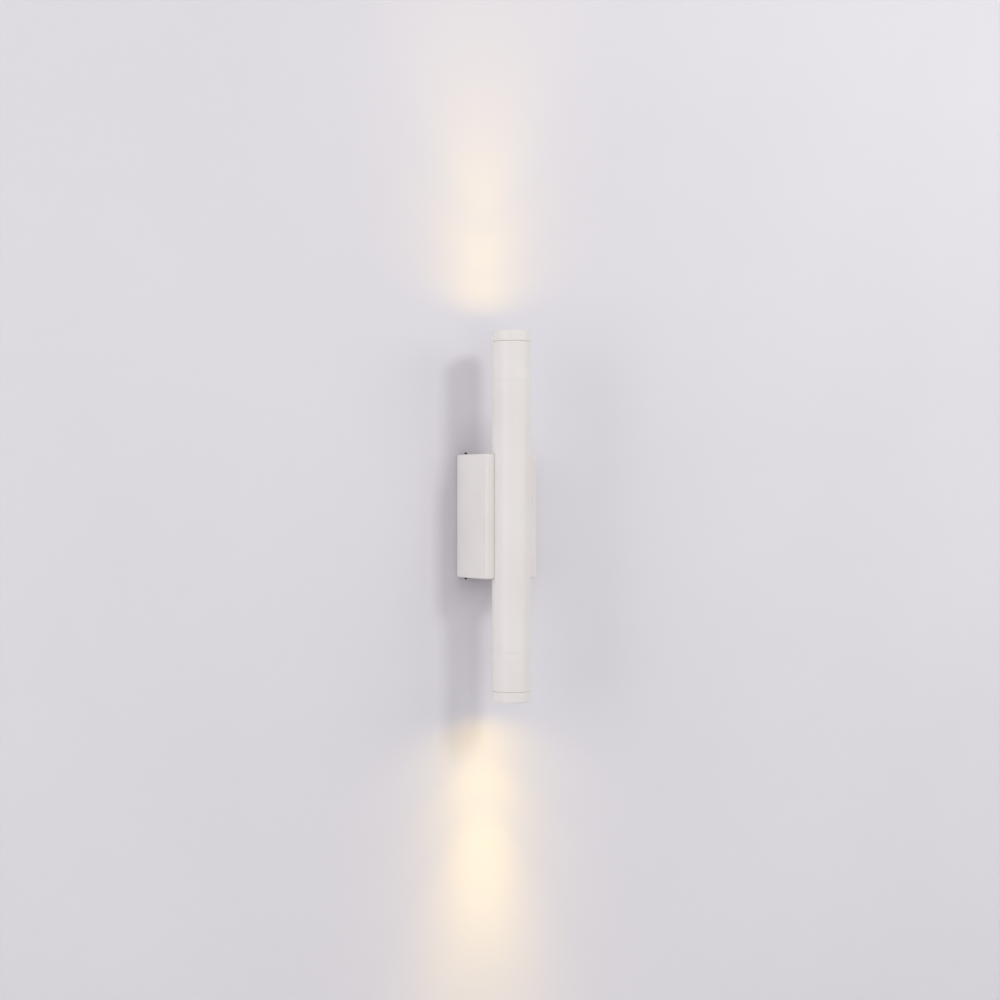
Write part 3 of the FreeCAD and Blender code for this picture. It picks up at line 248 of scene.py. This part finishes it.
def powder_coat():
    material, tree, shader = new_material("powder_coat")
    skin = add_peel(tree, ripple=900.0, grain=3600.0, cloud=18.0)
    drift = ramp(tree, skin.outputs["Cloud"], low=0.35, high=0.65)
    colour = mix_colours(tree, drift, COAT_LIGHT, COAT_DARK)
    # painted shade: the coat goes a little greyer in hollows and where parts meet
    coat_shaded = shade_hollows(tree, colour, COAT_SHADE, reach=2.5 * MM, share=0.09)
    join(tree, coat_shaded, shader.inputs["Base Color"])
    rough = ramp(tree, skin.outputs["Grain"], low=0.3, high=0.7, start=0.40, end=0.52)
    join(tree, rough, shader.inputs["Roughness"])
    shader.inputs["Specular IOR Level"].default_value = 0.45
    bump(tree, shader, skin.outputs["Height"], strength=0.22, distance=0.09 * MM)
    return material


COAT = powder_coat()
print("material:", COAT.name)


# %% [markdown]
# The other finishes: black oxide on the cover's screws, zinc on the bracket, spring steel, brass,
# rubber and the plastics. All take their skin from the same group, some at another size.

# %% Skinned finishes
def skinned(name, light, dark, rough, metallic=0.0, ripple=700.0, grain=2600.0, cloud=60.0):
    """A finish of two close colours under a fine skin; rough is a pair of limits."""
    material, tree, shader = new_material(name)
    skin = add_peel(tree, ripple, grain, cloud)
    drift = ramp(tree, skin.outputs["Cloud"], low=0.35, high=0.65)
    join(tree, mix_colours(tree, drift, light, dark), shader.inputs["Base Color"])
    join(tree, ramp(tree, skin.outputs["Grain"], 0.3, 0.7, *rough), shader.inputs["Roughness"])
    shader.inputs["Metallic"].default_value = metallic
    bump(tree, shader, skin.outputs["Height"], strength=0.2, distance=0.1 * MM)
    return material


BLACK_OXIDE = skinned("black_oxide", (0.022, 0.022, 0.024), (0.035, 0.034, 0.034), (0.30, 0.46),
                      metallic=0.6)
ZINC = skinned("zinc_plate", (0.58, 0.60, 0.62), (0.66, 0.65, 0.60), (0.26, 0.42),
               metallic=1.0, ripple=300.0, grain=900.0, cloud=35.0)
SPRING = skinned("spring_steel", (0.32, 0.33, 0.35), (0.42, 0.42, 0.43), (0.25, 0.38), metallic=1.0)
BRASS = skinned("brass", (0.70, 0.50, 0.20), (0.62, 0.42, 0.16), (0.22, 0.36), metallic=1.0)
RUBBER = skinned("black_rubber", (0.020, 0.020, 0.021), (0.032, 0.031, 0.030), (0.62, 0.80))
DRIVER = skinned("driver_case_plastic", (0.70, 0.70, 0.69), (0.66, 0.66, 0.64), (0.48, 0.62))
NYLON = skinned("terminal_nylon", (0.80, 0.79, 0.73), (0.74, 0.72, 0.66), (0.38, 0.50))
LEAD_SKIN = skinned("lead_brown", (0.20, 0.085, 0.045), (0.15, 0.065, 0.035), (0.36, 0.48))
EARTH_SKIN = skinned("lead_green", (0.12, 0.40, 0.06), (0.55, 0.52, 0.05), (0.36, 0.48), cloud=160.0)
BOARD = skinned("lamp_board_mask", (0.83, 0.83, 0.80), (0.78, 0.78, 0.75), (0.30, 0.40))


# %% [markdown]
# The reflector is spun aluminium, polished and hammered into small facets, so that it mixes the
# light. A cell texture gives the dimples, and the metal itself stays plain.

# %% Reflector, glass and lamp
def hammered_aluminium():
    material, tree, shader = new_material("hammered_aluminium")
    cells = add_node(tree, "ShaderNodeTexVoronoi", Scale=520.0, feature="SMOOTH_F1")
    join(tree, object_place(tree), cells.inputs["Vector"])
    colour = mix_colours(tree, cells.outputs["Distance"], (0.90, 0.89, 0.87), (0.80, 0.79, 0.78))
    join(tree, colour, shader.inputs["Base Color"])
    rough = ramp(tree, cells.outputs["Distance"], low=0.0, high=0.8, start=0.08, end=0.2)
    join(tree, rough, shader.inputs["Roughness"])
    shader.inputs["Metallic"].default_value = 1.0
    bump(tree, shader, cells.outputs["Distance"], strength=0.5, distance=0.6 * MM)
    return material


def clear_glass():
    material, tree, shader = new_material("clear_glass")
    haze = add_node(tree, "ShaderNodeTexNoise", Scale=90.0, Detail=4.0)
    join(tree, object_place(tree), haze.inputs["Vector"])
    rough = ramp(tree, haze.outputs["Fac"], low=0.4, high=0.7, start=0.01, end=0.05)
    join(tree, rough, shader.inputs["Roughness"])
    tint = mix_colours(tree, haze.outputs["Fac"], (0.97, 0.985, 0.98), (0.94, 0.97, 0.96))
    join(tree, tint, shader.inputs["Base Color"])
    shader.inputs["Transmission Weight"].default_value = 1.0
    shader.inputs["IOR"].default_value = 1.5
    return material


def glowing_lamp():
    """The phosphor over the light-emitting chips: brighter over each chip."""
    material, tree, shader = new_material("lamp_phosphor")
    chips = add_node(tree, "ShaderNodeTexVoronoi", Scale=900.0, Randomness=0.0)
    join(tree, object_place(tree), chips.inputs["Vector"])
    glow = mix_colours(tree, chips.outputs["Distance"], (1.0, 0.74, 0.40), (1.0, 0.62, 0.26))
    join(tree, glow, shader.inputs["Base Color"])
    join(tree, glow, shader.inputs["Emission Color"])
    rough = ramp(tree, chips.outputs["Distance"], low=0.0, high=0.8, start=0.35, end=0.5)
    join(tree, rough, shader.inputs["Roughness"])
    shader.inputs["Emission Strength"].default_value = 6.0
    return material


REFLECTOR = hammered_aluminium()
GLASS = clear_glass()
LAMP = glowing_lamp()
print("materials so far:", len(bpy.data.materials))

# %% [markdown]
# Every node of the frame gets its finish here, by name.

# %% Finishes for the frame's own nodes
FINISHES = {
    "wall_bracket": ZINC, "cable_grommet": RUBBER, "cover_box": COAT, "tube_body": COAT,
    "saddle_nuts": ZINC, "wire_bush": RUBBER, "driver_case": DRIVER, "terminal_block": NYLON,
    "earth_tag": BRASS, "supply_leads": LEAD_SKIN, "earth_lead": EARTH_SKIN,
    "cover_screws": BLACK_OXIDE, "cradle_screws": ZINC, "driver_screws": ZINC,
    "block_screws": ZINC, "terminal_screws": BRASS, "earth_screw": ZINC,
}
for end in ("upper", "lower"):
    FINISHES.update({
        f"{end}_head": COAT, f"{end}_ring": COAT, f"{end}_glass": GLASS,
        f"{end}_gasket": RUBBER, f"{end}_clip": SPRING, f"{end}_reflector": REFLECTOR,
        f"{end}_lamp_board": BOARD, f"{end}_lamp": LAMP, f"{end}_lamp_leads": LEAD_SKIN,
        f"{end}_lamp_screws": ZINC,
    })

for name, thing in nodes.items():
    thing.data.materials.clear()
    thing.data.materials.append(FINISHES[name])
print("finished nodes:", len(nodes))

# %% [markdown]
# Round pieces with a helix or a hexagon in them are swept here: each row is a function that gives
# radius and height at an angle, so a thread or a socket is one more row and not another method.

# %% Swept rows
SHARP_ANGLE = math.radians(32)
ROUND_STEPS = 6


def swept(name, rows, steps, across, depth, side, material, closed=True):
    """A mesh of rows round an upright axis at (across, depth), turned over for side -1.

    Each row gives (radius, height) at an angle. A closed mesh joins its last row to its first,
    and an open one has a flat cap on each of them."""
    verts, faces = [], []
    for row in rows:
        for i in range(steps):
            angle = math.tau * i / steps
            radius, height = row(angle)
            verts.append((across + radius * math.sin(angle),
                          depth + side * radius * math.cos(angle), side * height))
    pairs = [(a, a + 1) for a in range(len(rows) - 1)]
    if closed:
        pairs.append((len(rows) - 1, 0))
    for a, b in pairs:
        for i in range(steps):
            j = (i + 1) % steps
            faces.append((a * steps + i, b * steps + i, b * steps + j, a * steps + j))
    if not closed:
        faces.append(tuple(range(steps)))
        faces.append(tuple(len(rows) * steps - 1 - i for i in range(steps)))
    mesh = bpy.data.meshes.new(name)
    mesh.from_pydata(verts, [], faces)
    mesh.materials.append(material)
    work = bmesh.new()
    work.from_mesh(mesh)
    bmesh.ops.recalc_face_normals(work, faces=work.faces)
    work.to_mesh(mesh)
    work.free()
    mesh.shade_smooth()
    mesh.set_sharp_from_angle(angle=SHARP_ANGLE)
    thing = bpy.data.objects.new(name, mesh)
    bpy.context.scene.collection.objects.link(thing)
    return thing


def level(radius, height):
    """A plain round row."""
    return lambda angle: (radius, height)


print("sweeping ready, edges sharp from", round(math.degrees(SHARP_ANGLE)), "degrees")

# %% [markdown]
# The end rings come with a plain spigot. Unscrewed, its thread shows, so each ring is swept again
# with a real helix cut into the same cylinder: 1.5 mm a turn, as the ring travels, and running out
# at both ends. The foot's edge is eased, and the other sizes are those of the solid ring.

# %% End rings with their thread
PITCH, THREAD_DEEP, ROWS_A_TURN = 1.5 * MM, 0.55 * MM, 8
FOOT_FADE, TOP_FADE, FLANK, CREST = 0.9 * MM, 1.1 * MM, 1.25, 0.12
SPIGOT_R, RECESS_R, GROOVE_R, MOUTH_R = 17.5 * MM, 16.3 * MM, 16.9 * MM, 14.5 * MM
COLLAR, LIP_THICK, SEAM_BEVEL, RIM_ROUND = 10.9 * MM, 6 * MM, 0.6 * MM, 1 * MM
FOOT_EASE, CLIP_THICK, CLIP_GAP = 0.25 * MM, 1 * MM, 0.05 * MM
RING_STEPS = 144


def thread_row(foot, top, height):
    """One row of the helix: a V with flats that fades out near both ends of the spigot."""
    fade = max(0.0, min(1.0, (height - foot) / FOOT_FADE, (top - height) / TOP_FADE))

    def row(angle):
        phase = (height / PITCH + angle / math.tau) % 1.0
        groove = 1.0 - abs(2.0 * phase - 1.0)
        depth = THREAD_DEEP * fade * min(1.0, max(0.0, groove * FLANK - CREST))
        return SPIGOT_R - depth, height
    return row


def ring_rows(foot, top, glass_under):
    """The ring's outline from the spigot's foot, up the outside and back down the bore."""
    shoulder, lip = top - COLLAR, top - LIP_THICK
    clip_top, clip_under = glass_under + CLIP_GAP, glass_under - CLIP_THICK - CLIP_GAP
    eased = foot + FOOT_EASE
    rows = [level(RECESS_R, foot), level(SPIGOT_R - FOOT_EASE, foot), level(SPIGOT_R, eased)]
    rise = PITCH / ROWS_A_TURN
    for k in range(1, int((shoulder - eased - FOOT_EASE) / rise) + 1):
        rows.append(thread_row(eased, shoulder, eased + k * rise))
    rows += [level(SPIGOT_R, shoulder), level(TUBE_R - SEAM_BEVEL, shoulder)]
    rows.append(level(TUBE_R, shoulder + SEAM_BEVEL))
    for k in range(ROUND_STEPS + 1):
        turn = math.pi / 2 * k / ROUND_STEPS
        out, up = RIM_ROUND * math.cos(turn), RIM_ROUND * math.sin(turn)
        rows.append(level(TUBE_R - RIM_ROUND + out, top - RIM_ROUND + up))
    rows += [level(MOUTH_R + RIM_ROUND, top), level(MOUTH_R, top - RIM_ROUND)]
    rows += [level(MOUTH_R, lip), level(RECESS_R, lip)]
    rows += [level(RECESS_R, clip_top), level(GROOVE_R, clip_top)]
    rows += [level(GROOVE_R, clip_under), level(RECESS_R, clip_under)]
    return rows


def threaded_ring(end, side):
    """One end ring with its helix, in place of the frame's plain one."""
    low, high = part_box(f"{end}_ring")
    glass_low, glass_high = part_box(f"{end}_glass")
    foot, top, glass_under = low.z, high.z, glass_low.z
    if side < 0:
        foot, top, glass_under = -high.z, -low.z, -glass_high.z
    rows = ring_rows(foot, top, glass_under)
    ring = swept(f"{end}_threaded_ring", rows, RING_STEPS, 0, AXIS_Y, side, COAT)
    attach(ring, f"{end}_end_ring")
    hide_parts(f"{end}_ring")
    return ring


for end, side in (("upper", 1), ("lower", -1)):
    ring = threaded_ring(end, side)
    print(ring.name, "faces:", len(ring.data.polygons))

# %% [markdown]
# The four cover screws are black, with a hexagon socket in a low domed head. Their places, reach
# and thickness are read from the frame.

# %% Cover screws with sockets
SOCKET_HALF, SOCKET_DEEP, SOCKET_MOUTH_R = 1.0 * MM, 1.1 * MM, 1.3 * MM
POINT_DEEP, POINT_R = 1.35 * MM, 0.35 * MM
TIP_EASE, RIM_EASE, TIP_SHARE, FLAT_SHARE, SCREW_STEPS = 0.15 * MM, 0.1 * MM, 0.4, 0.45, 48


def hexagon(height):
    """A six-sided row, its flats SOCKET_HALF from the axis."""
    def row(angle):
        return SOCKET_HALF / math.cos((angle % (math.pi / 3)) - math.pi / 6), height
    return row


def cover_screw(index, across, depth, side):
    """One screw, measured from the frame's own: tip, shank, underside and head."""
    points = [v.co for v in nodes["cover_screws"].data.vertices
              if v.co.x * across > 0 and v.co.z * side > 0]
    reach = [(abs(p.z), math.hypot(p.x - across, p.y - depth)) for p in points]
    tip, top = min(reach)[0], max(reach)[0]
    head = max(radius for height, radius in reach)
    shank = max(radius for height, radius in reach if height < tip + RIM_EASE)
    under = min(height for height, radius in reach if radius > shank + 2 * RIM_EASE)
    rows = [level(TIP_SHARE * shank, tip), level(shank - TIP_EASE, tip), level(shank, tip + TIP_EASE)]
    rows += [level(shank, under), level(head - RIM_EASE, under), level(head, under + RIM_EASE)]
    dome = top - under - RIM_EASE
    for k in range(1, ROUND_STEPS):
        turn = math.pi / 2 * k / ROUND_STEPS
        width = head * (FLAT_SHARE + (1 - FLAT_SHARE) * math.cos(turn))
        rows.append(level(width, under + RIM_EASE + dome * math.sin(turn)))
    rows += [level(SOCKET_MOUTH_R, top), hexagon(top - RIM_EASE / 2), hexagon(top - SOCKET_DEEP)]
    rows.append(level(POINT_R, top - POINT_DEEP))
    name = f"socket_screw_{index}"
    return swept(name, rows, SCREW_STEPS, across, depth, side, BLACK_OXIDE, closed=False)


screws_low, screws_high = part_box("cover_screws")
screw_depth = (screws_low.y + screws_high.y) / 2
half_head = (screws_high.y - screws_low.y) / 2
spots = [(across * (screws_high.x - half_head), side) for side in (1, -1) for across in (1, -1)]
sockets = [cover_screw(i + 1, across, screw_depth, side) for i, (across, side) in enumerate(spots)]
for screw in sockets:
    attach(screw, "wall_box")
    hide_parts("cover_screws")
print("socket screws:", len(sockets), "head radius mm:", round(half_head / MM, 2))

# %% [markdown]
# The wall behind and the floor below are stage, not object. The wall is plaster painted a pale
# lilac grey, darkened close round the box with painted shade. Seen from behind it lets the view
# through, and it never shades the object's back, so that the light can be looked at from every side.
# Behind the box it has an opening, which the box hides from the front, because the bracket's back
# would be nearly dark otherwise.

# %% Wall and floor
WALL_COLOURS = ((0.745, 0.725, 0.768), (0.725, 0.705, 0.748))
# the colour of the painted shade on the wall round the box
WALL_SHADE = (0.33, 0.31, 0.34)
FLOOR_COLOUR = (0.80, 0.79, 0.79)
WALL_Y, WALL_HALF, WALL_TOP, FLOOR_Z, FLOOR_HALF = 0.6 * MM, 4.0, 2.6, -1.35, 6.0
OPENING_INSET = 1.5 * MM


def plaster():
    """Painted plaster that lets through the view from behind and all shadow rays."""
    material, tree, shader = new_material("wall_plaster")
    skin = add_peel(tree, ripple=160.0, grain=700.0, cloud=3.0)
    drift = ramp(tree, skin.outputs["Cloud"], low=0.3, high=0.7)
    colour = mix_colours(tree, drift, *WALL_COLOURS)
    # painted shade: the wall darkens by up to half close round the box, where its shadow falls
    shaded = shade_hollows(tree, colour, WALL_SHADE, reach=50 * MM, share=0.5)
    join(tree, shaded, shader.inputs["Base Color"])
    shader.inputs["Roughness"].default_value = 0.85
    bump(tree, shader, skin.outputs["Height"], strength=0.12, distance=0.6 * MM)
    clear = add_node(tree, "ShaderNodeBsdfTransparent")
    path = add_node(tree, "ShaderNodeLightPath")
    side = add_node(tree, "ShaderNodeNewGeometry")
    either = add_node(tree, "ShaderNodeMath", operation="MAXIMUM")
    join(tree, side.outputs["Backfacing"], either.inputs[0])
    join(tree, path.outputs["Is Shadow Ray"], either.inputs[1])
    blend = add_node(tree, "ShaderNodeMixShader")
    join(tree, either.outputs[0], blend.inputs[0])
    join(tree, shader.outputs[0], blend.inputs[1])
    join(tree, clear.outputs[0], blend.inputs[2])
    join(tree, blend.outputs[0], tree.nodes["Material Output"].inputs["Surface"])
    return material


def sheet_of(name, corners, material, faces=((0, 1, 2, 3),)):
    """A flat stage piece through these corners."""
    mesh = bpy.data.meshes.new(name)
    mesh.from_pydata(corners, [], faces)
    mesh.materials.append(material)
    thing = bpy.data.objects.new(name, mesh)
    bpy.context.scene.collection.objects.link(thing)
    return thing


def on_wall(half_width, low, high):
    """Four corners on the wall."""
    return [(-half_width, WALL_Y, low), (half_width, WALL_Y, low),
            (half_width, WALL_Y, high), (-half_width, WALL_Y, high)]


box_low, box_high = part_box("cover_box")
corners = on_wall(WALL_HALF, FLOOR_Z, WALL_TOP)
corners += on_wall(box_high.x - OPENING_INSET, box_low.z + OPENING_INSET, box_high.z - OPENING_INSET)
around = [(k, (k + 1) % 4, 4 + (k + 1) % 4, 4 + k) for k in range(4)]
wall = sheet_of("wall", corners, plaster(), around)
floor_finish = skinned("floor_paint", FLOOR_COLOUR, FLOOR_COLOUR, (0.6, 0.7), ripple=90.0)
corners = [(FLOOR_HALF * x, FLOOR_HALF * y, FLOOR_Z) for x, y in ((-1, -1), (1, -1), (1, 1), (-1, 1))]
floor = sheet_of("floor", corners, floor_finish)
print("stage:", wall.name, floor.name)

# %% [markdown]
# The room is lit softly from all round, brighter from the left than from the right. A high lamp at
# the front right puts the shade to the left of tube and box, a wide one beside it softens that
# shade's far edge, and a long one at the left lights the box's side.

# %% Room light
def soft_lamp(name, place, size, power):
    """A soft rectangle of light aimed at the object's middle."""
    data = bpy.data.lights.new(name, "AREA")
    data.shape = "RECTANGLE"
    data.size, data.size_y = size
    data.energy = power
    lamp = bpy.data.objects.new(name, data)
    lamp.location = place
    lamp.rotation_euler = (-Vector(place)).to_track_quat("-Z", "Y").to_euler()
    bpy.context.scene.collection.objects.link(lamp)


def room_glow(left, right):
    """The room's own light: its strength runs from one side to the other."""
    world = bpy.data.worlds.new("studio")
    bpy.context.scene.world = world
    world.use_nodes = True
    tree = world.node_tree
    back = tree.nodes["Background"]
    back.inputs["Color"].default_value = (0.99, 0.985, 1.0, 1)
    split = add_node(tree, "ShaderNodeSeparateXYZ")
    join(tree, add_node(tree, "ShaderNodeTexCoord").outputs["Generated"], split.inputs[0])
    strength = ramp(tree, split.outputs["X"], low=-0.9, high=0.9, start=left, end=right)
    join(tree, strength, back.inputs["Strength"])


room_glow(left=0.76, right=0.32)
soft_lamp("key", place=(0.80, -2.2, 1.45), size=(0.6, 0.6), power=19)
soft_lamp("wide", place=(1.9, -1.5, 0.7), size=(1.5, 1.3), power=12)
soft_lamp("side", place=(-2.2, -0.9, 0.3), size=(0.6, 1.6), power=15)
print("room lights set")

# %% [markdown]
# The light is on: a warm beam leaves each mouth and grazes the wall. Real glass would let it
# through, but a path tracer finds such light slowly, so the beams start in the mouth, outside the
# glass. The reflector's narrow core and its wide spill are four cones of one colour. Their widths
# are in degrees, and each mouth gives them its own watts in the same order.

# %% The beams
BEAM_COLOUR = (1.0, 0.68, 0.06)
CONES = (158, 90, 56, 40)
BEAM_RADIUS, BEAM_INSET = 8 * MM, 1 * MM
MOUTHS = {"upper": (1, (0.19, 0.33, 1.1, 0.3)), "lower": (-1, (0.24, 0.65, 2.6, 2.0))}
for end, (side, powers) in MOUTHS.items():
    low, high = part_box(f"{end}_ring")
    tip = high.z if side > 0 else low.z
    for width, watts in zip(CONES, powers):
        data = bpy.data.lights.new(f"{end}_beam_{width}", "SPOT")
        data.energy = watts
        data.color = BEAM_COLOUR
        data.spot_size = math.radians(width)
        data.spot_blend = 1.0
        data.shadow_soft_size = BEAM_RADIUS
        beam = bpy.data.objects.new(data.name, data)
        beam.location = (0, AXIS_Y, tip - side * BEAM_INSET)
        beam.rotation_euler = (math.pi if side > 0 else 0, 0, 0)
        bpy.context.scene.collection.objects.link(beam)
print("beams set:", len(MOUTHS) * len(CONES))
